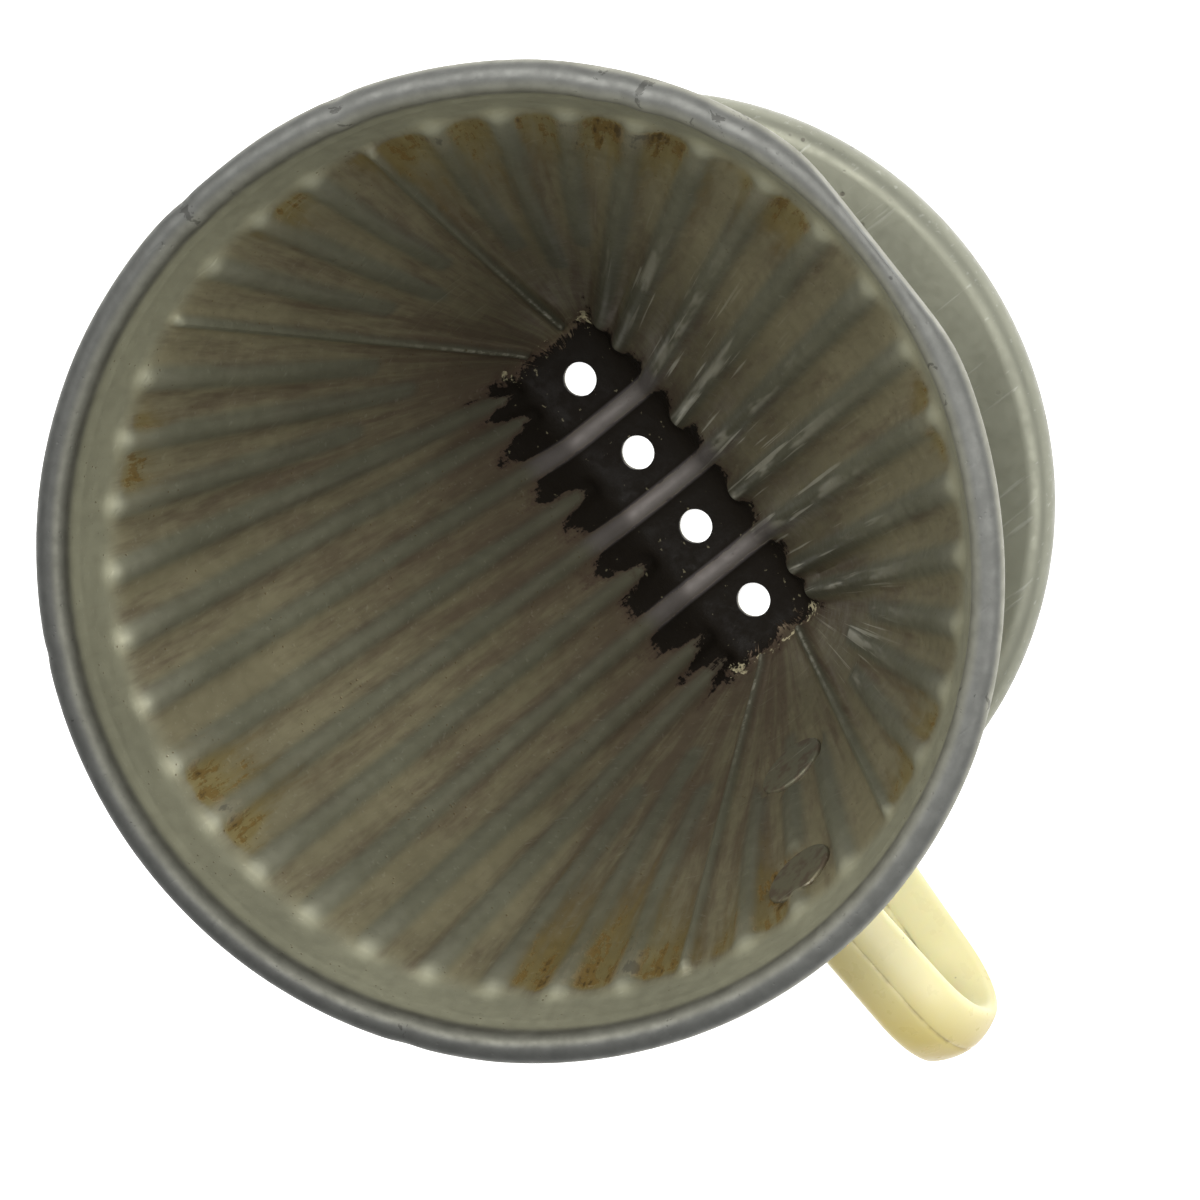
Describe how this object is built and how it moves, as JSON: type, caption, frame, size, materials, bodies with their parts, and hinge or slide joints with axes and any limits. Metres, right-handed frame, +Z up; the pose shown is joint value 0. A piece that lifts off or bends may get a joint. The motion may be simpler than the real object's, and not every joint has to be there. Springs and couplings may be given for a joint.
{
  "type": "pour over dripper",
  "caption": "Ribbed aluminium coffee dripper cone that narrows to a trough with drip holes, on a round plate, with a moulded loop handle.",
  "frame": {"origin": "on the cone's axis, midway between the drip holes, in the plane that the dripper stands on", "axes": "+Z up along the cone's axis, +X along the trough and the row of drip holes towards the handle"},
  "size_m": [0.1361, 0.116, 0.0814],
  "materials": {
    "cone_aluminium": "aged, stained by coffee",
    "plate_aluminium": "aged matt",
    "ivory_plastic": "yellowed, satin",
    "rivet_aluminium": "aged matt",
    "bush_brass": "turned"
  },
  "bodies": {
    "root": {"filter_cone": "cone_aluminium", "base_plate": "plate_aluminium", "handle": "ivory_plastic", "upper_rivet": "rivet_aluminium", "lower_rivet": "rivet_aluminium", "upper_bush": "bush_brass", "lower_bush": "bush_brass"}
  },
  "joints": []
}
